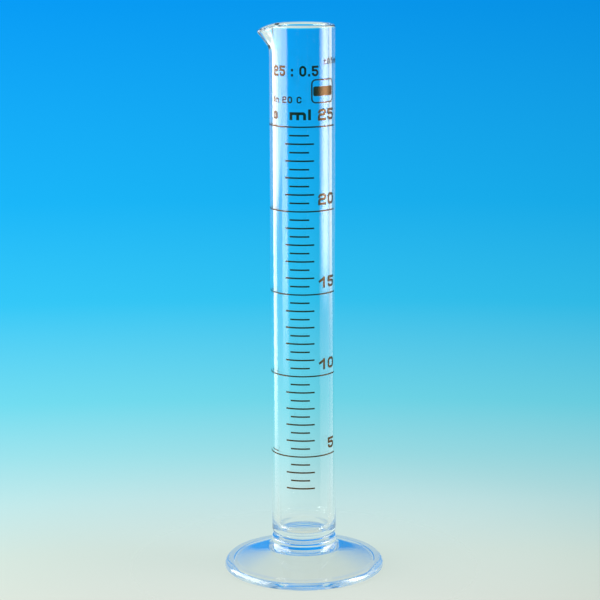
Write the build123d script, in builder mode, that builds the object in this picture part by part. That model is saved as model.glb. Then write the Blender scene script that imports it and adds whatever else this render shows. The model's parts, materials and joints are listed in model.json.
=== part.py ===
from build123d import *
import os
from math import cos, pi, radians, sin, sqrt

# A 25 ml measuring cylinder of borosilicate glass: a closed tube with a pouring spout, fused
# to a round pressed foot, with its scale and inscriptions fired on in amber stain.
# Millimetres. The origin is the centre of the foot on the table, +Z is up, the scale faces
# -Y and the spout points to -X.

# Whole cylinder
overall_height = 170.0

# Tube
tube_radius = 10.0
wall = 2.1
bore_radius = tube_radius - wall
floor_thickness = 2.05
floor_corner_radius = 3.0
heel_radius = 2.3

# Foot: a boss under the tube, a flare that slopes down to a round rim, and a hollow underneath
# that follows the flare and leaves a narrow ring to stand on
foot_radius = 25.0
foot_height = 10.0
boss_radius = 10.1
boss_edge_round = 0.8
foot_fillet = 2.7
flare_top_height = 6.9
flare_edge_radius = 21.6
flare_edge_round = 3.0
rim_height = 2.5
rim_round = 1.9
rim_under_round = 0.5
ring_inner_radius = 22.3
ring_inner_round = 1.2
hollow_height = 5.4
hollow_flat_radius = 7.0
hollow_round = 6.5

# Spout, drawn out of the rim over the last few millimetres
lip_start = 156.0
spout_angle = -90.0
spout_half_angle = 36.0
spout_sections = 13
spout_levels = 10
spout_bend_height = 163.1
spout_bend_softness = 0.8
spout_slope = 0.79
spout_drop = 1.5
join_tolerance = 0.001

# Fired stain
stain_thickness = 0.05
stain_reach = 1.5
ring_line_height = 0.42
ring_line_start = -100.0
ring_line_end = 69.0
tick_height = 0.48
tick_centre = -6.1
whole_tick_arc = 51.8
half_tick_arc = 34.5
numeral_angles = (35.9, 56.4)
numeral_rise = 1.8
numeral_width = 2.95
numeral_height = 3.5
numeral_stroke = 0.74

# Scale
scale_step = 5
scale_first_tick = 3
scale_last = 25

# Inscriptions above the scale: each starts at an angle round from the front and stands on a
# baseline above the table; width is one character's, and gap is between two
inscriptions = {
    "unit_mark": {
        "text": "ml",
        "start": -22.4,
        "baseline": 142.1,
        "width": 3.1,
        "height": 3.2,
        "stroke": 0.86,
        "gap": 0.6,
    },
    "capacity_mark": {
        "text": "25 : 0.5",
        "start": -57.2,
        "baseline": 155.05,
        "width": 2.1,
        "height": 3.15,
        "stroke": 0.65,
        "gap": 0.48,
    },
    "temperature_mark": {
        "text": "In 20 C",
        "start": -57.8,
        "baseline": 147.1,
        "width": 1.5,
        "height": 2.0,
        "stroke": 0.42,
        "gap": 0.36,
    },
    "class_mark": {
        "text": "B",
        "start": -57.8,
        "baseline": 142.2,
        "width": 1.85,
        "height": 2.3,
        "stroke": 0.54,
        "gap": 0,
    },
    "tolerance_mark": {
        "text": "±0.5ml",
        "start": 39.0,
        "baseline": 158.45,
        "width": 1.1,
        "height": 1.8,
        "stroke": 0.3,
        "gap": 0.32,
    },
}

# Blank label
label_angle = 39.5
label_height = 150.6
label_width = 8.3
label_depth = 7.2
label_line = 0.4
label_corner = 1.4
band_width = 7.1
band_depth = 2.9
band_corner = 0.6

# Height of each volume, worked out from the bore, less the glass that rounds its floor
floor_height = foot_height + floor_thickness
bore_area = pi * bore_radius**2
corner_centroid_radius = bore_radius - floor_corner_radius * (10 - 3 * pi) / (12 - 3 * pi)
corner_glass = (1 - pi / 4) * floor_corner_radius**2 * 2 * pi * corner_centroid_radius


def height_of(millilitres):
    """The level that so many millilitres reach in the tube."""
    return floor_height + (millilitres * 1000 + corner_glass) / bore_area


def radial_plane(angle):
    """The upright plane through the axis, at an angle in degrees round from the front."""
    outward = (sin(radians(angle)), -cos(radians(angle)), 0)
    across = (-cos(radians(angle)), -sin(radians(angle)), 0)
    return Plane(origin=(0, 0, 0), x_dir=outward, z_dir=across)


def tangent_plane(angle, height):
    """The upright plane that touches the tube at an angle round from the front."""
    outward = Vector(sin(radians(angle)), -cos(radians(angle)), 0)
    across = Vector(cos(radians(angle)), sin(radians(angle)), 0)
    origin = outward * tube_radius + Vector(0, 0, height)
    return Plane(origin=origin, x_dir=across, z_dir=outward)


def spout_reach(height):
    """How far the middle of the spout stands out beyond the round tube at a height."""
    rise = height - spout_bend_height
    soft_rise = (sqrt(rise**2 + spout_bend_softness**2) + rise) / 2
    fade = min(1.0, (height - lip_start) / (spout_bend_height - lip_start))
    return spout_slope * soft_rise * fade


def lip_section(angle, share):
    """The wall's section up to its round rim, drawn out by a share of the spout's reach."""
    rim_level = overall_height - wall / 2 - spout_drop * share
    rise = (rim_level - lip_start) / (spout_levels - 1)
    levels = [lip_start + rise * step for step in range(spout_levels)]
    outside = [(tube_radius + spout_reach(level) * share, level) for level in levels]
    inside = [(bore_radius + spout_reach(level) * share, level) for level in levels]
    lean = Vector(spout_slope * share, 1).normalized()
    crown = (Vector(*outside[-1]) + Vector(*inside[-1])) / 2 + lean * (wall / 2)
    with BuildSketch(radial_plane(angle)) as section:
        with BuildLine():
            Spline(*outside, tangents=((0, 1), lean))
            ThreePointArc(outside[-1], crown, inside[-1])
            Spline(*reversed(inside), tangents=(-lean, (0, -1)))
            Line(inside[0], outside[0])
        make_face()
    return section.sketch


# The characters are strokes of one width in a box one wide and one high. Each point is
# (across, up, rounded), where rounded is 1 at a corner that is an arc.
half_up = 0.52
characters = {
    "0": [
        [(0.5, 1, 0), (0, 1, 1), (0, 0, 1), (0.5, 0, 0)],
        [(0.5, 1, 0), (1, 1, 1), (1, 0, 1), (0.5, 0, 0)],
    ],
    "1": [
        [(0.8, 1, 0), (0.8, 0, 0)],
        [(0, 0.64, 0), (0.72, 0.94, 0)],
    ],
    "2": [
        [
            (0, 0.8, 0),
            (0, 1, 1),
            (1, 1, 1),
            (1, half_up, 1),
            (0, half_up, 1),
            (0, 0, 0),
            (1, 0, 0),
        ],
    ],
    "5": [
        [
            (1, 1, 0),
            (0, 1, 0),
            (0, 0.6, 0),
            (1, 0.6, 1),
            (1, 0, 1),
            (0, 0, 1),
            (0, 0.18, 0),
        ],
    ],
    "B": [
        [(0, 1, 0), (0, 0, 0)],
        [(0, 1, 0), (0.92, 1, 1), (0.92, half_up, 1), (0, half_up, 0)],
        [(0, half_up, 0), (1, half_up, 1), (1, 0, 1), (0, 0, 0)],
    ],
    "C": [
        [(1, 0.78, 0), (1, 1, 1), (0, 1, 1), (0, 0, 1), (1, 0, 1), (1, 0.22, 0)],
    ],
    "I": [
        [(0.5, 1, 0), (0.5, 0, 0)],
    ],
    "l": [
        [(0.5, 1, 0), (0.5, 0, 0)],
    ],
    "m": [
        [(0, 1, 0), (0, 0, 0)],
        [(0, 1, 0), (0.5, 1, 1), (0.5, 0, 0)],
        [(0.5, 1, 0), (1, 1, 1), (1, 0, 0)],
    ],
    "n": [
        [(0, 1, 0), (0, 0, 0)],
        [(0, 1, 0), (1, 1, 1), (1, 0, 0)],
    ],
    ".": [
        [(0.5, 0, 0), (0.5, 0.04, 0)],
    ],
    ":": [
        [(0.5, 0, 0), (0.5, 0.04, 0)],
        [(0.5, 0.6, 0), (0.5, 0.64, 0)],
    ],
    "±": [
        [(0, 0, 0), (1, 0, 0)],
        [(0, 0.62, 0), (1, 0.62, 0)],
        [(0.5, 0.3, 0), (0.5, 0.94, 0)],
    ],
}
width_shares = {"m": 1.6, "1": 0.9, "I": 0.3, "l": 0.3, ".": 0.34, ":": 0.34}
height_shares = {"m": 0.74, "n": 0.74}
corner_share = 0.24
corner_room = 0.47
space_share = 0.65


def stroke_path(points, width, height, stroke):
    """A stroke's path and corner radii, its ends level with the edge of the character's box."""
    inner_width = max(width - stroke, 0)
    inner_height = height - stroke
    places = [
        Vector((across - 0.5) * inner_width, up * inner_height + stroke / 2)
        for across, up, rounded in points
    ]
    first_end = places[0] + (places[0] - places[1]).normalized() * (stroke / 2)
    last_end = places[-1] + (places[-1] - places[-2]).normalized() * (stroke / 2)
    path = [first_end, *places[1:-1], last_end]
    runs = [(path[i + 1] - path[i]).length * corner_room for i in range(len(path) - 1)]
    runs[0] *= 2
    runs[-1] *= 2
    radii = [
        point[2] * min(corner_share * height, run_before, run_after)
        for point, run_before, run_after in zip(points[1:-1], runs, runs[1:])
    ]
    return path, radii


def stain_character(character, angle, baseline, width, height, stroke):
    """Stands one character through the tube's wall, centred at an angle from the front."""
    height = height * height_shares.get(character, 1)
    with BuildSketch(tangent_plane(angle, baseline)) as outline:
        for points in characters[character]:
            path, radii = stroke_path(points, width, height, stroke)
            with BuildLine():
                if radii:
                    FilletPolyline(*path, radius=radii)
                else:
                    Line(*path)
            trace(line_width=stroke)
    extrude(outline.sketch, amount=stain_reach, both=True)


def stain_text(text, start, baseline, width, height, stroke, gap):
    """Sets a line of characters round the tube from an angle, evenly spaced."""
    along = 0.0
    for character in text:
        if character == " ":
            along += width * space_share
            continue
        character_width = max(width * width_shares.get(character, 1), stroke)
        angle = start + (along + character_width / 2) / radians(1) / tube_radius
        stain_character(character, angle, baseline, character_width, height, stroke)
        along += character_width + gap


def keep_stain_layer():
    """Leaves only the thin layer of the part that lies on the outside of the tube."""
    with BuildSketch(Plane.XY) as layer:
        Circle(tube_radius + stain_thickness)
        Circle(tube_radius, mode=Mode.SUBTRACT)
    extrude(layer.sketch, amount=overall_height, mode=Mode.INTERSECT)


def stain_arcs(heights, start, arc, line_height):
    """Lays a line round the tube at each height, from an angle and over an arc."""
    middle = tube_radius + stain_thickness / 2
    with BuildSketch(radial_plane(start)) as lines:
        with Locations(*[(middle, height) for height in heights]):
            Rectangle(stain_thickness, line_height)
    revolve(lines.sketch, axis=Axis.Z, revolution_arc=arc)


os.makedirs("parts", exist_ok=True)

# Measuring tube: straight wall and closed bottom, then the round part of the lip, then the
# spout, lofted from section to section round the rim
with BuildPart() as straight_tube:
    with BuildSketch(Plane.XZ):
        with BuildLine():
            FilletPolyline(
                (0, foot_height),
                (tube_radius, foot_height),
                (tube_radius, lip_start),
                radius=heel_radius,
            )
            Line((tube_radius, lip_start), (bore_radius, lip_start))
            FilletPolyline(
                (bore_radius, lip_start),
                (bore_radius, floor_height),
                (0, floor_height),
                radius=floor_corner_radius,
            )
            Line((0, floor_height), (0, foot_height))
        make_face()
    revolve(axis=Axis.Z)

with BuildPart() as round_lip:
    revolve(
        lip_section(spout_angle + spout_half_angle, share=0),
        axis=Axis.Z,
        revolution_arc=360 - 2 * spout_half_angle,
    )

with BuildPart() as spout:
    sections = []
    for number in range(spout_sections):
        turn = spout_half_angle * (2 * number / (spout_sections - 1) - 1)
        spout_share = cos(turn / spout_half_angle * pi / 2) ** 2
        sections.append(lip_section(spout_angle + turn, spout_share))
    loft(sections)

# The lofted wall keeps to the round one within a micron or so, and the join allows for that
one_wall = straight_tube.part.fuse(round_lip.part, spout.part, tol=join_tolerance).clean()
with BuildPart() as measuring_tube:
    add(one_wall)
measuring_tube.part.label = "measuring_tube"
export_step(measuring_tube.part, "parts/measuring_tube.step")

# Foot: one turned shape
with BuildPart() as foot:
    with BuildSketch(Plane.XZ):
        with BuildLine():
            FilletPolyline(
                (0, hollow_height),
                (hollow_flat_radius, hollow_height),
                (ring_inner_radius, 0),
                (foot_radius, 0),
                (foot_radius, rim_height),
                (flare_edge_radius, rim_height),
                (boss_radius, flare_top_height),
                (boss_radius, foot_height),
                (0, foot_height),
                radius=(
                    hollow_round,
                    ring_inner_round,
                    rim_under_round,
                    rim_round,
                    flare_edge_round,
                    foot_fillet,
                    boss_edge_round,
                ),
            )
            Line((0, foot_height), (0, hollow_height))
        make_face()
    revolve(axis=Axis.Z)
foot.part.label = "foot"
export_step(foot.part, "parts/foot.step")

# Scale: a numbered ring line every 5 ml
for volume in range(scale_step, scale_last + 1, scale_step):
    with BuildPart() as ring_line:
        stain_arcs(
            [height_of(volume)],
            ring_line_start,
            ring_line_end - ring_line_start,
            ring_line_height,
        )
    ring_line.part.label = f"ring_line_{volume:02d}"
    export_step(ring_line.part, f"parts/ring_line_{volume:02d}.step")

    digits = str(volume)
    with BuildPart() as numeral:
        for digit, digit_angle in zip(digits, numeral_angles[-len(digits):]):
            stain_character(
                digit,
                digit_angle,
                height_of(volume) + numeral_rise,
                numeral_width * width_shares.get(digit, 1),
                numeral_height,
                numeral_stroke,
            )
        keep_stain_layer()
    numeral.part.label = f"numeral_{volume:02d}"
    export_step(numeral.part, f"parts/numeral_{volume:02d}.step")

# Scale: the strokes between the ring lines
whole_volumes = [v for v in range(scale_first_tick, scale_last) if v % scale_step]
with BuildPart() as whole_ml_ticks:
    stain_arcs(
        [height_of(volume) for volume in whole_volumes],
        tick_centre - whole_tick_arc / 2,
        whole_tick_arc,
        tick_height,
    )
whole_ml_ticks.part.label = "whole_ml_ticks"
export_step(whole_ml_ticks.part, "parts/whole_ml_ticks.step")

half_volumes = [v + 0.5 for v in range(scale_first_tick, scale_last)]
with BuildPart() as half_ml_ticks:
    stain_arcs(
        [height_of(volume) for volume in half_volumes],
        tick_centre - half_tick_arc / 2,
        half_tick_arc,
        tick_height,
    )
half_ml_ticks.part.label = "half_ml_ticks"
export_step(half_ml_ticks.part, "parts/half_ml_ticks.step")

# Inscriptions above the scale
for name, setting in inscriptions.items():
    with BuildPart() as inscription:
        stain_text(**setting)
        keep_stain_layer()
    inscription.part.label = name
    export_step(inscription.part, f"parts/{name}.step")

# Blank label: a thin frame round a plain filled band
with BuildPart() as label_patch:
    with BuildSketch(tangent_plane(label_angle, label_height)):
        RectangleRounded(label_width, label_depth, label_corner)
        RectangleRounded(
            label_width - 2 * label_line,
            label_depth - 2 * label_line,
            label_corner - label_line,
            mode=Mode.SUBTRACT,
        )
        RectangleRounded(band_width, band_depth, band_corner)
    extrude(amount=stain_reach, both=True)
    keep_stain_layer()
label_patch.part.label = "label_patch"
export_step(label_patch.part, "parts/label_patch.step")
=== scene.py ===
import json
import math

import bmesh
import bpy
from mathutils import Matrix, Vector


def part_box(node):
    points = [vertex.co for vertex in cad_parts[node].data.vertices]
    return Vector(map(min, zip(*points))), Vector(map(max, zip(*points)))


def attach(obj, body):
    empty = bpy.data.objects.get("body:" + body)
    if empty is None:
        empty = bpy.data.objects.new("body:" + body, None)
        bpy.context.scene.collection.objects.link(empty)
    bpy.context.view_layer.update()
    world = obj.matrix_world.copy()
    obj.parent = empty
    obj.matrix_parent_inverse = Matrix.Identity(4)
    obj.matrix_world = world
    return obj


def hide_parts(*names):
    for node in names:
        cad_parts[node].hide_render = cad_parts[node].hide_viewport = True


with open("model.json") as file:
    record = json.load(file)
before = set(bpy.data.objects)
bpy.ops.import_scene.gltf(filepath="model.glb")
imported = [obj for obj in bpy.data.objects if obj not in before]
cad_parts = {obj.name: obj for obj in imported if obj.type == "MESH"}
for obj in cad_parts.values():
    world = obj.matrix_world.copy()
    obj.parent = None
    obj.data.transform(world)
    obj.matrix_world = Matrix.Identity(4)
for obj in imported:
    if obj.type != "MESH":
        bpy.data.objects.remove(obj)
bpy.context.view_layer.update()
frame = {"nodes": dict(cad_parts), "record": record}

MM = 0.001

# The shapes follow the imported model: its boxes, and the bore that the record states
tube_low, tube_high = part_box("measuring_tube")
foot_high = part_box("foot")[1]
mounts = {mount["name"]: mount for mount in frame["record"]["mounts"]}

# Tube
TUBE_RADIUS = tube_high[0]
TUBE_BOTTOM = tube_low[2]
TUBE_TOP = tube_high[2]
BORE_RADIUS = mounts["tube_bore"]["dims"]["r_mm"] * MM
WALL = TUBE_RADIUS - BORE_RADIUS
FLOOR_THICKNESS = 2.05 * MM
FLOOR_CORNER = 3.0 * MM
FLOOR_DOME = 0.15 * MM
HEEL = 2.3 * MM
CONTACT_RADIUS = TUBE_RADIUS - HEEL

# Spout, which points to -X
LIP_START = 156.0 * MM
SPOUT_ANGLE = math.radians(180)
SPOUT_HALF_ANGLE = math.radians(36)
SPOUT_BEND = 163.1 * MM
SPOUT_SOFTNESS = 0.8 * MM
SPOUT_SLOPE = 0.79
SPOUT_DROP = 1.5 * MM
SPOUT_RIM_LEAN = 0.5
SPOUT_RIM_FLATTENING = 0.12

# Foot
FOOT_RADIUS = foot_high[0]
FOOT_TOP = foot_high[2]
BOSS_RADIUS = 10.1 * MM
BOSS_ROUND = 0.8 * MM
FOOT_FILLET = 2.7 * MM
FLARE_TOP = 6.9 * MM
FLARE_EDGE_RADIUS = 21.6 * MM
FLARE_EDGE_ROUND = 3.0 * MM
RIM_HEIGHT = 2.5 * MM
RIM_ROUND = 1.9 * MM
RIM_UNDER_ROUND = 0.5 * MM
RING_INNER_RADIUS = 22.3 * MM
RING_INNER_ROUND = 1.2 * MM
HOLLOW_HEIGHT = 5.4 * MM
HOLLOW_FLAT_RADIUS = 7.0 * MM
HOLLOW_ROUND = 6.5 * MM

# Meshes: the steps round the axis, and along each stretch of a profile
AROUND = 288
CONTACT_STEPS = 2
HEEL_STEPS = 14
STRAIGHT_STEPS = 48
LIP_STEPS = 34
RIM_STEPS = 20
FLOOR_CORNER_STEPS = 16
FLOOR_DOME_STEPS = 8
FOOT_ARC_STEPS = 12

# Print, laid on the tube
PRINT_GAP = 0.003 * MM
PRINT_THICKNESS = 0.03 * MM
PRINT_CUT_STEP = math.radians(2.5)
PRINT_CUT_TOLERANCE = 0.0002 * MM
PRINT_MERGE_DISTANCE = 0.0005 * MM


# ---------------------------------------------------------------- shapes

def arc(centre, radius, start, end, steps):
    """Points on an arc in the (radius, height) plane, from one angle to another in degrees."""
    points = []
    for step in range(steps + 1):
        angle = math.radians(start + (end - start) * step / steps)
        points.append((centre[0] + radius * math.cos(angle), centre[1] + radius * math.sin(angle)))
    return points


def line(start, end, steps):
    """Points from one place to another, without the last."""
    return [
        (start[0] + (end[0] - start[0]) * step / steps, start[1] + (end[1] - start[1]) * step / steps)
        for step in range(steps)
    ]


def lathe(name, profile_at, around, materials, material_of):
    """A closed mesh from a profile that starts and ends on the axis, for each angle round it."""
    mesh = bpy.data.meshes.new(name)
    shape = bmesh.new()
    columns = [profile_at(2 * math.pi * step / around) for step in range(around)]
    rows = len(columns[0])
    first = shape.verts.new((0, 0, columns[0][0][1]))
    last = shape.verts.new((0, 0, columns[0][-1][1]))
    grid = []
    for step, column in enumerate(columns):
        angle = 2 * math.pi * step / around
        grid.append([
            shape.verts.new((radius * math.cos(angle), radius * math.sin(angle), height))
            for radius, height in column[1:-1]
        ])
    for step in range(around):
        here = grid[step]
        there = grid[(step + 1) % around]
        face = shape.faces.new((first, there[0], here[0]))
        face.material_index = material_of(0)
        for row in range(rows - 3):
            face = shape.faces.new((here[row], there[row], there[row + 1], here[row + 1]))
            face.material_index = material_of(row + 1)
        face = shape.faces.new((here[-1], there[-1], last))
        face.material_index = material_of(rows - 2)
    for face in shape.faces:
        face.smooth = True
    bmesh.ops.recalc_face_normals(shape, faces=shape.faces)
    shape.to_mesh(mesh)
    shape.free()
    piece = bpy.data.objects.new(name, mesh)
    bpy.context.collection.objects.link(piece)
    for material in materials:
        mesh.materials.append(material)
    return piece


def spout_share(angle):
    """How much of the spout's reach the wall has at an angle: 1 in its middle, 0 past its sides."""
    turn = abs((angle - SPOUT_ANGLE + math.pi) % (2 * math.pi) - math.pi)
    if turn >= SPOUT_HALF_ANGLE:
        return 0.0
    return math.cos(turn / SPOUT_HALF_ANGLE * math.pi / 2) ** 2


def spout_reach(height):
    """How far the middle of the spout stands out at a height."""
    rise = height - SPOUT_BEND
    soft_rise = (math.hypot(rise, SPOUT_SOFTNESS) + rise) / 2
    fade = min(1.0, (height - LIP_START) / (SPOUT_BEND - LIP_START))
    return SPOUT_SLOPE * soft_rise * fade


def tube_profile(angle):
    """The wall's section at an angle, from the outside of the bottom over the rim to the inside."""
    share = spout_share(angle)
    rim_level = TUBE_TOP - WALL / 2 - SPOUT_DROP * share
    lip = [LIP_START + (rim_level - LIP_START) * step / LIP_STEPS for step in range(LIP_STEPS + 1)]
    outside = [(TUBE_RADIUS + spout_reach(level) * share, level) for level in lip]
    inside = [(BORE_RADIUS + spout_reach(level) * share, level) for level in lip]
    tilt = math.atan(SPOUT_SLOPE * share) * SPOUT_RIM_LEAN
    middle = ((outside[-1][0] + inside[-1][0]) / 2, rim_level)
    floor_level = TUBE_BOTTOM + FLOOR_THICKNESS
    corner = (BORE_RADIUS - FLOOR_CORNER, floor_level + FLOOR_CORNER)
    points = [(0, TUBE_BOTTOM)]
    points += line((CONTACT_RADIUS / 2, TUBE_BOTTOM), (CONTACT_RADIUS, TUBE_BOTTOM), CONTACT_STEPS)
    points += arc((CONTACT_RADIUS, TUBE_BOTTOM + HEEL), HEEL, -90, 0, HEEL_STEPS)
    points += line((TUBE_RADIUS, TUBE_BOTTOM + HEEL + MM), (TUBE_RADIUS, LIP_START), STRAIGHT_STEPS)
    points += outside[:-1]
    half_chord = (outside[-1][0] - inside[-1][0]) / 2
    for across, up in arc((0, 0), half_chord, 0, 180, RIM_STEPS):
        lifted = up * (1 - SPOUT_RIM_FLATTENING * share)
        points.append((middle[0] + across + lifted * math.sin(tilt), middle[1] + lifted * math.cos(tilt)))
    points += list(reversed(inside[:-1]))
    points += line((BORE_RADIUS, LIP_START - MM), (BORE_RADIUS, corner[1]), STRAIGHT_STEPS)
    points += arc(corner, FLOOR_CORNER, 0, -90, FLOOR_CORNER_STEPS)
    dome_radius = BORE_RADIUS - FLOOR_CORNER
    for step in range(1, FLOOR_DOME_STEPS):
        radius = dome_radius * (1 - step / FLOOR_DOME_STEPS)
        bulge = FLOOR_DOME * (1 - (radius / dome_radius) ** 2) ** 2
        points.append((radius, floor_level + bulge))
    points.append((0, floor_level + FLOOR_DOME))
    return points


def rounded_path(corners, radii, steps):
    """A path through the corners in the (radius, height) plane, with an arc at each inner corner."""
    points = [Vector(corners[0])]
    for before, corner, after, radius in zip(corners, corners[1:], corners[2:], radii):
        corner = Vector(corner)
        towards = (Vector(before) - corner).normalized()
        away = (Vector(after) - corner).normalized()
        half_angle = towards.angle(away) / 2
        reach = radius / math.tan(half_angle)
        middle = corner + (towards + away).normalized() * (radius / math.sin(half_angle))
        start = corner + towards * reach
        end = corner + away * reach
        first = (start - middle).normalized()
        last = (end - middle).normalized()
        for step in range(steps + 1):
            points.append(middle + Vector(first.slerp(last, step / steps)) * radius)
    points.append(Vector(corners[-1]))
    return points


def foot_profile(angle):
    """The foot's section, the same at every angle, from its hollow underside over the rim to the boss."""
    corners = [
        (0, HOLLOW_HEIGHT),
        (HOLLOW_FLAT_RADIUS, HOLLOW_HEIGHT),
        (RING_INNER_RADIUS, 0),
        (FOOT_RADIUS, 0),
        (FOOT_RADIUS, RIM_HEIGHT),
        (FLARE_EDGE_RADIUS, RIM_HEIGHT),
        (BOSS_RADIUS, FLARE_TOP),
        (BOSS_RADIUS, FOOT_TOP),
        (CONTACT_RADIUS, FOOT_TOP),
    ]
    radii = [
        HOLLOW_ROUND,
        RING_INNER_ROUND,
        RIM_UNDER_ROUND,
        RIM_ROUND,
        FLARE_EDGE_ROUND,
        FOOT_FILLET,
        BOSS_ROUND,
    ]
    points = [tuple(point) for point in rounded_path(corners, radii, FOOT_ARC_STEPS)]
    points += line((CONTACT_RADIUS, FOOT_TOP), (0, FOOT_TOP), CONTACT_STEPS)[1:]
    points.append((0, FOOT_TOP))
    return points


def lay_print(node):
    """A copy of a printed mark, cut into narrow strips so that it lies closely on the tube."""
    source = frame["nodes"][node]
    shape = bmesh.new()
    shape.from_mesh(source.data)
    bmesh.ops.remove_doubles(shape, verts=shape.verts, dist=PRINT_MERGE_DISTANCE)
    angles = [math.atan2(vert.co.x, -vert.co.y) for vert in shape.verts]
    cuts = int((max(angles) - min(angles)) / PRINT_CUT_STEP)
    for cut in range(1, cuts + 1):
        angle = min(angles) + cut * PRINT_CUT_STEP
        bmesh.ops.bisect_plane(
            shape,
            geom=shape.verts[:] + shape.edges[:] + shape.faces[:],
            plane_co=(0, 0, 0),
            plane_no=(math.cos(angle), math.sin(angle), 0),
            dist=PRINT_CUT_TOLERANCE,
        )
    inner = TUBE_RADIUS + PRINT_GAP
    outer = inner + PRINT_THICKNESS
    split = TUBE_RADIUS + PRINT_THICKNESS / 2
    for vert in shape.verts:
        distance = math.hypot(vert.co.x, vert.co.y)
        wanted = outer if distance > split else inner
        vert.co.x *= wanted / distance
        vert.co.y *= wanted / distance
    for face in shape.faces:
        face.smooth = False
    name = "printed_" + node
    mesh = bpy.data.meshes.new(name)
    shape.to_mesh(mesh)
    shape.free()
    piece = bpy.data.objects.new(name, mesh)
    bpy.context.collection.objects.link(piece)
    return piece


# ---------------------------------------------------------------- materials

# Borosilicate glass, with faint waves of noise, so many to the metre
GLASS_IOR = 1.473
GLASS_TINT = (0.985, 1.0, 0.995, 1)
WAVE_SCALE = 60
WAVE_DETAIL = 3

# The stain tints what is seen through each of its two faces, more or less deeply along the
# grain's range, and has a faint gold sheen
STAIN_TONES = [
    (0.3, (0.36, 0.23, 0.13, 1)),
    (0.75, (0.52, 0.32, 0.18, 1)),
]
STAIN_SHEEN = (0.36, 0.21, 0.1, 1)
STAIN_SHEEN_SHARE = 0.1
STAIN_ROUGHNESS = 0.25
STAIN_GRAIN_SCALE = 2600
STAIN_GRAIN_DETAIL = 4


def new_material(name):
    """An empty node material, with its nodes and links."""
    material = bpy.data.materials.new(name)
    material.use_nodes = True
    material.node_tree.nodes.clear()
    return material, material.node_tree.nodes, material.node_tree.links


def map_range(nodes, start, end, smooth=False):
    """A node that maps start to 0 and end to 1."""
    node = nodes.new("ShaderNodeMapRange")
    if smooth:
        node.interpolation_type = "SMOOTHSTEP"
    node.inputs["From Min"].default_value = start
    node.inputs["From Max"].default_value = end
    return node


def colour_ramp(nodes, stops):
    """A node that blends through the colours given with their positions."""
    node = nodes.new("ShaderNodeValToRGB")
    elements = node.color_ramp.elements
    for number, (position, colour) in enumerate(stops):
        if number < len(elements):
            elements[number].position = position
        else:
            elements.new(position)
        elements[number].color = colour
    return node


def glass_material(name, stretch, bump_height):
    """Clear, smooth borosilicate glass with faint drawn or pressed waviness."""
    material, nodes, links = new_material(name)
    output = nodes.new("ShaderNodeOutputMaterial")
    glass = nodes.new("ShaderNodeBsdfPrincipled")
    glass.inputs["Base Color"].default_value = GLASS_TINT
    glass.inputs["Roughness"].default_value = 0.0
    glass.inputs["Transmission Weight"].default_value = 1.0
    glass.inputs["IOR"].default_value = GLASS_IOR
    place = nodes.new("ShaderNodeTexCoord")
    mapping = nodes.new("ShaderNodeMapping")
    mapping.inputs["Scale"].default_value = stretch
    waves = nodes.new("ShaderNodeTexNoise")
    waves.inputs["Scale"].default_value = WAVE_SCALE
    waves.inputs["Detail"].default_value = WAVE_DETAIL
    bump = nodes.new("ShaderNodeBump")
    bump.inputs["Strength"].default_value = 1.0
    bump.inputs["Distance"].default_value = bump_height
    links.new(place.outputs["Object"], mapping.inputs["Vector"])
    links.new(mapping.outputs["Vector"], waves.inputs["Vector"])
    links.new(waves.outputs["Fac"], bump.inputs["Height"])
    links.new(bump.outputs["Normal"], glass.inputs["Normal"])
    links.new(glass.outputs["BSDF"], output.inputs["Surface"])
    return material


def fused_material():
    """Where the tube's bottom and the boss are one piece of glass there is no surface to see."""
    material, nodes, links = new_material("fused_joint")
    output = nodes.new("ShaderNodeOutputMaterial")
    clear = nodes.new("ShaderNodeBsdfTransparent")
    links.new(clear.outputs["BSDF"], output.inputs["Surface"])
    return material


def stain_material():
    """Fired amber stain: light that passes turns brown, with slight unevenness and a gold sheen."""
    material, nodes, links = new_material("amber_stain")
    output = nodes.new("ShaderNodeOutputMaterial")
    place = nodes.new("ShaderNodeTexCoord")
    grain = nodes.new("ShaderNodeTexNoise")
    grain.inputs["Scale"].default_value = STAIN_GRAIN_SCALE
    grain.inputs["Detail"].default_value = STAIN_GRAIN_DETAIL
    tone = colour_ramp(nodes, STAIN_TONES)
    through = nodes.new("ShaderNodeBsdfTransparent")
    sheen = nodes.new("ShaderNodeBsdfPrincipled")
    sheen.inputs["Base Color"].default_value = STAIN_SHEEN
    sheen.inputs["Metallic"].default_value = 1.0
    sheen.inputs["Roughness"].default_value = STAIN_ROUGHNESS
    mix = nodes.new("ShaderNodeMixShader")
    mix.inputs["Fac"].default_value = STAIN_SHEEN_SHARE
    links.new(place.outputs["Object"], grain.inputs["Vector"])
    links.new(grain.outputs["Fac"], tone.inputs["Fac"])
    links.new(tone.outputs["Color"], through.inputs["Color"])
    links.new(through.outputs["BSDF"], mix.inputs[1])
    links.new(sheen.outputs["BSDF"], mix.inputs[2])
    links.new(mix.outputs["Shader"], output.inputs["Surface"])
    return material


# ---------------------------------------------------------------- the object

tube_glass = glass_material("drawn_glass", stretch=(1, 1, 0.04), bump_height=0.004 * MM)
foot_glass = glass_material("pressed_glass", stretch=(1, 1, 1), bump_height=0.01 * MM)
joint = fused_material()
stain = stain_material()

tube = lathe(
    "glass_tube",
    tube_profile,
    AROUND,
    [tube_glass, joint],
    lambda row: 1 if row <= CONTACT_STEPS else 0,
)
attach(tube, "root")
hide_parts("measuring_tube")

foot_face_rows = len(foot_profile(0)) - 1
foot = lathe(
    "glass_foot",
    foot_profile,
    AROUND,
    [foot_glass, joint],
    lambda row: 1 if row >= foot_face_rows - CONTACT_STEPS else 0,
)
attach(foot, "root")
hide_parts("foot")

for node in sorted(frame["nodes"]):
    if node in ("measuring_tube", "foot"):
        continue
    printed = lay_print(node)
    printed.data.materials.append(stain)
    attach(printed, "root")
    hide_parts(node)


# ---------------------------------------------------------------- stage, light and camera

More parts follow.
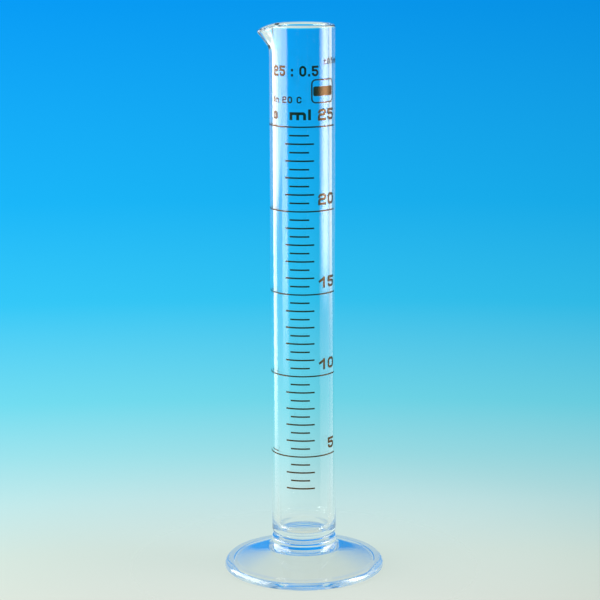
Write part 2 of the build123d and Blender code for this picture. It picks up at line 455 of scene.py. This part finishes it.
def linear(red, green, blue):
    """A display colour, each part from 0 to 255, as linear light."""
    parts = []
    for part in (red, green, blue):
        part = part / 255
        parts.append(part / 12.92 if part <= 0.04045 else ((part + 0.055) / 1.055) ** 2.4)
    return (*parts, 1)


# Camera, a little above the rim and looking slightly down
CAMERA_PLACE = Vector((-0.97 * MM, -593 * MM, 209.6 * MM))
CAMERA_PITCH = math.radians(-11.83)
CAMERA_ROLL = -0.0044
CAMERA_LENS = 117.9
CAMERA_SENSOR = 36

# Backdrop: the colour seen along each elevation, in degrees, from the floor up to the horizon
BACKDROP = [
    (-50.0, (176, 218, 226)),
    (-21.5, (222, 225, 214)),
    (-19.1, (208, 226, 217)),
    (-17.6, (188, 226, 227)),
    (-16.2, (152, 220, 229)),
    (-14.7, (110, 213, 232)),
    (-11.8, (50, 193, 239)),
    (-8.9, (25, 176, 240)),
    (-3.0, (7, 150, 237)),
]
OVERHEAD_COLOUR = (0.45, 0.62, 0.72, 1)
OVERHEAD_START = math.radians(25)
OVERHEAD_END = math.radians(50)

# The backdrop grows brighter by the change towards -X and dimmer towards +X, over the reach, which
# is the X part of the direction looked in
SIDE_REACH = 0.15
SIDE_CHANGE = 0.09

# Table that the cylinder stands on: mostly its own glow, in the backdrop's lowest colours
TABLE_PAINT = 0.06
TABLE_GLOW = 0.86
TABLE_DROP = 0.02 * MM
TABLE_SEGMENTS = 96
TABLE_COLOURS = BACKDROP[1:5]

# Height of the light panels' upper edges
PANEL_TOP = 0.5


def world_backdrop():
    """A studio sweep: pale at the foot, blue above, pale again overhead, brighter towards -X."""
    world = bpy.data.worlds.new("studio")
    bpy.context.scene.world = world
    world.use_nodes = True
    nodes = world.node_tree.nodes
    links = world.node_tree.links
    nodes.clear()
    output = nodes.new("ShaderNodeOutputWorld")
    background = nodes.new("ShaderNodeBackground")
    place = nodes.new("ShaderNodeTexCoord")
    parts = nodes.new("ShaderNodeSeparateXYZ")
    low = math.sin(math.radians(BACKDROP[0][0]))
    high = math.sin(math.radians(BACKDROP[-1][0]))
    across = map_range(nodes, low, high)
    stops = []
    for elevation, colour in BACKDROP:
        stops.append(((math.sin(math.radians(elevation)) - low) / (high - low), linear(*colour)))
    ramp = colour_ramp(nodes, stops)
    overhead = map_range(nodes, math.sin(OVERHEAD_START), math.sin(OVERHEAD_END), smooth=True)
    mix = nodes.new("ShaderNodeMix")
    mix.data_type = "RGBA"
    mix.inputs["B"].default_value = OVERHEAD_COLOUR
    links.new(place.outputs["Generated"], parts.inputs["Vector"])
    links.new(parts.outputs["Z"], across.inputs["Value"])
    links.new(across.outputs["Result"], ramp.inputs["Fac"])
    links.new(parts.outputs["Z"], overhead.inputs["Value"])
    links.new(overhead.outputs["Result"], mix.inputs["Factor"])
    links.new(ramp.outputs["Color"], mix.inputs["A"])
    links.new(mix.outputs["Result"], background.inputs["Color"])
    sides = map_range(nodes, -SIDE_REACH, SIDE_REACH)
    sides.inputs["To Min"].default_value = 1 + SIDE_CHANGE
    sides.inputs["To Max"].default_value = 1 - SIDE_CHANGE
    links.new(parts.outputs["X"], sides.inputs["Value"])
    links.new(sides.outputs["Result"], background.inputs["Strength"])
    links.new(background.outputs["Background"], output.inputs["Surface"])


def floor_disc(radius, solid_radius):
    """A pale glowing table that fades out into the backdrop round the foot.

    Its colours are fixed on it along Y, each where the camera looks at the table at that
    colour's elevation, so that the table and the backdrop meet in the main view.
    """
    mesh = bpy.data.meshes.new("floor")
    shape = bmesh.new()
    bmesh.ops.create_circle(shape, cap_ends=True, radius=radius, segments=TABLE_SEGMENTS)
    shape.to_mesh(mesh)
    shape.free()
    floor = bpy.data.objects.new("floor", mesh)
    floor.location.z = -TABLE_DROP
    bpy.context.collection.objects.link(floor)
    material, nodes, links = new_material("pale_floor")
    output = nodes.new("ShaderNodeOutputMaterial")
    place = nodes.new("ShaderNodeTexCoord")
    length = nodes.new("ShaderNodeVectorMath")
    length.operation = "LENGTH"
    fade = map_range(nodes, solid_radius, radius, smooth=True)
    paint = nodes.new("ShaderNodeBsdfDiffuse")
    paint.inputs["Color"].default_value = (TABLE_PAINT, TABLE_PAINT, TABLE_PAINT, 1)
    glow = nodes.new("ShaderNodeEmission")
    glow.inputs["Strength"].default_value = TABLE_GLOW
    parts = nodes.new("ShaderNodeSeparateXYZ")
    along = map_range(nodes, -radius, radius)
    stops = []
    for elevation, colour in TABLE_COLOURS:
        place_along = CAMERA_PLACE.z / math.tan(math.radians(-elevation)) + CAMERA_PLACE.y
        stops.append(((place_along + radius) / (2 * radius), linear(*colour)))
    ramp = colour_ramp(nodes, stops)
    links.new(place.outputs["Object"], parts.inputs["Vector"])
    links.new(parts.outputs["Y"], along.inputs["Value"])
    links.new(along.outputs["Result"], ramp.inputs["Fac"])
    links.new(ramp.outputs["Color"], glow.inputs["Color"])
    lit = nodes.new("ShaderNodeAddShader")
    clear = nodes.new("ShaderNodeBsdfTransparent")
    mix = nodes.new("ShaderNodeMixShader")
    links.new(place.outputs["Object"], length.inputs[0])
    links.new(length.outputs["Value"], fade.inputs["Value"])
    links.new(fade.outputs["Result"], mix.inputs["Fac"])
    links.new(paint.outputs["BSDF"], lit.inputs[0])
    links.new(glow.outputs["Emission"], lit.inputs[1])
    links.new(lit.outputs["Shader"], mix.inputs[1])
    links.new(clear.outputs["BSDF"], mix.inputs[2])
    links.new(mix.outputs["Shader"], output.inputs["Surface"])
    mesh.materials.append(material)


def panel(name, distance, start, end, low, slant, fade_height, side_fade, light, seen_through):
    """A soft panel of light that the camera doesn't see, between two bearings at a distance.

    Bearings are in degrees from straight behind, + towards +X. The lower edge rises by the
    slant from the start to the end. The light fades in over the fade height above that edge,
    and over the side fade, as a share of the width, at each side.
    """
    corners = []
    for bearing in (start, end):
        angle = math.radians(bearing)
        corners.append(Vector((math.sin(angle), math.cos(angle), 0)) * distance)
    width = (corners[1] - corners[0]).length
    mesh = bpy.data.meshes.new(name)
    shape = bmesh.new()
    places = [(0, low), (width, low + slant), (width, PANEL_TOP), (0, PANEL_TOP)]
    shape.faces.new([shape.verts.new((across, up, 0)) for across, up in places])
    shape.to_mesh(mesh)
    shape.free()
    lamp = bpy.data.objects.new(name, mesh)
    across = (corners[1] - corners[0]).normalized()
    facing = across.cross(Vector((0, 0, 1)))
    lamp.matrix_world = Matrix((
        (across.x, 0, facing.x, corners[0].x),
        (across.y, 0, facing.y, corners[0].y),
        (0, 1, 0, 0),
        (0, 0, 0, 1),
    ))
    lamp.visible_camera = False
    lamp.visible_transmission = seen_through
    bpy.context.collection.objects.link(lamp)
    material, nodes, links = new_material(name)
    output = nodes.new("ShaderNodeOutputMaterial")
    place = nodes.new("ShaderNodeTexCoord")
    parts = nodes.new("ShaderNodeSeparateXYZ")
    links.new(place.outputs["Object"], parts.inputs["Vector"])
    above_edge = nodes.new("ShaderNodeMath")
    above_edge.operation = "MULTIPLY_ADD"
    above_edge.inputs[1].default_value = -slant / width
    links.new(parts.outputs["X"], above_edge.inputs[0])
    links.new(parts.outputs["Y"], above_edge.inputs[2])
    strength = None
    ramps = [
        (above_edge.outputs["Value"], low, low + fade_height),
        (parts.outputs["X"], 0, side_fade * width),
        (parts.outputs["X"], width, width - side_fade * width),
    ]
    for value, dark, bright in ramps:
        fade = map_range(nodes, dark, bright, smooth=True)
        links.new(value, fade.inputs["Value"])
        if strength is None:
            strength = fade.outputs["Result"]
            continue
        both = nodes.new("ShaderNodeMath")
        both.operation = "MULTIPLY"
        links.new(strength, both.inputs[0])
        links.new(fade.outputs["Result"], both.inputs[1])
        strength = both.outputs["Value"]
    glow = nodes.new("ShaderNodeEmission")
    glow.inputs["Color"].default_value = (*light, 1)
    clear = nodes.new("ShaderNodeBsdfTransparent")
    mix = nodes.new("ShaderNodeMixShader")
    links.new(strength, mix.inputs["Fac"])
    links.new(clear.outputs["BSDF"], mix.inputs[1])
    links.new(glow.outputs["Emission"], mix.inputs[2])
    links.new(mix.outputs["Shader"], output.inputs["Surface"])
    mesh.materials.append(material)


world_backdrop()
floor_disc(radius=0.13, solid_radius=0.03)

# Bright softboxes at the sides, and a faint sheen of white walls further out, show as reflections
# only, so that the glass stays clear when it is looked at from the side. The dimmer white flanks
# show through the wall as well.
panel(
    "left_softbox",
    distance=0.5,
    start=-50,
    end=-78,
    low=-0.12,
    slant=0,
    fade_height=0.1,
    side_fade=0.25,
    light=(9, 9, 9),
    seen_through=False,
)
panel(
    "left_upper_softbox",
    distance=0.51,
    start=-66,
    end=-112,
    low=0.01,
    slant=0.055,
    fade_height=0.03,
    side_fade=0.12,
    light=(9, 9, 9),
    seen_through=False,
)
panel(
    "left_strip",
    distance=0.5,
    start=-100,
    end=-128,
    low=-0.08,
    slant=0,
    fade_height=0.1,
    side_fade=0.2,
    light=(8, 8, 8),
    seen_through=False,
)
panel(
    "right_softbox",
    distance=0.5,
    start=120,
    end=72,
    low=-0.02,
    slant=0,
    fade_height=0.05,
    side_fade=0.45,
    light=(14, 14, 14),
    seen_through=False,
)
panel(
    "left_wall",
    distance=0.8,
    start=-48,
    end=-132,
    low=-0.6,
    slant=0,
    fade_height=0.3,
    side_fade=0.1,
    light=(1.6, 1.6, 1.6),
    seen_through=False,
)
panel(
    "right_wall",
    distance=0.6,
    start=122,
    end=48,
    low=-0.5,
    slant=0,
    fade_height=0.3,
    side_fade=0.1,
    light=(2, 2, 2),
    seen_through=False,
)
panel(
    "left_flank",
    distance=0.5,
    start=-56,
    end=-24,
    low=0,
    slant=0,
    fade_height=0.07,
    side_fade=0.15,
    light=(0.75, 0.86, 0.88),
    seen_through=True,
)
panel(
    "right_flank",
    distance=0.5,
    start=56,
    end=29,
    low=-0.05,
    slant=0,
    fade_height=0.08,
    side_fade=0.2,
    light=(0.65, 0.82, 0.88),
    seen_through=True,
)

camera_data = bpy.data.cameras.new("camera")
camera_data.lens = CAMERA_LENS
camera_data.sensor_width = CAMERA_SENSOR
camera = bpy.data.objects.new("camera", camera_data)
camera.matrix_world = (
    Matrix.Translation(CAMERA_PLACE)
    @ Matrix.Rotation(math.radians(90) + CAMERA_PITCH, 4, "X")
    @ Matrix.Rotation(CAMERA_ROLL, 4, "Z")
)
bpy.context.collection.objects.link(camera)
bpy.context.scene.camera = camera
bpy.context.scene.view_settings.view_transform = "Standard"

# Thick clear glass needs many bounces, or light that is caught inside it goes black
LIGHT_BOUNCES = 96
bpy.context.scene.cycles.max_bounces = LIGHT_BOUNCES
bpy.context.scene.cycles.transmission_bounces = LIGHT_BOUNCES
bpy.context.scene.cycles.transparent_max_bounces = LIGHT_BOUNCES
bpy.context.scene.cycles.glossy_bounces = LIGHT_BOUNCES
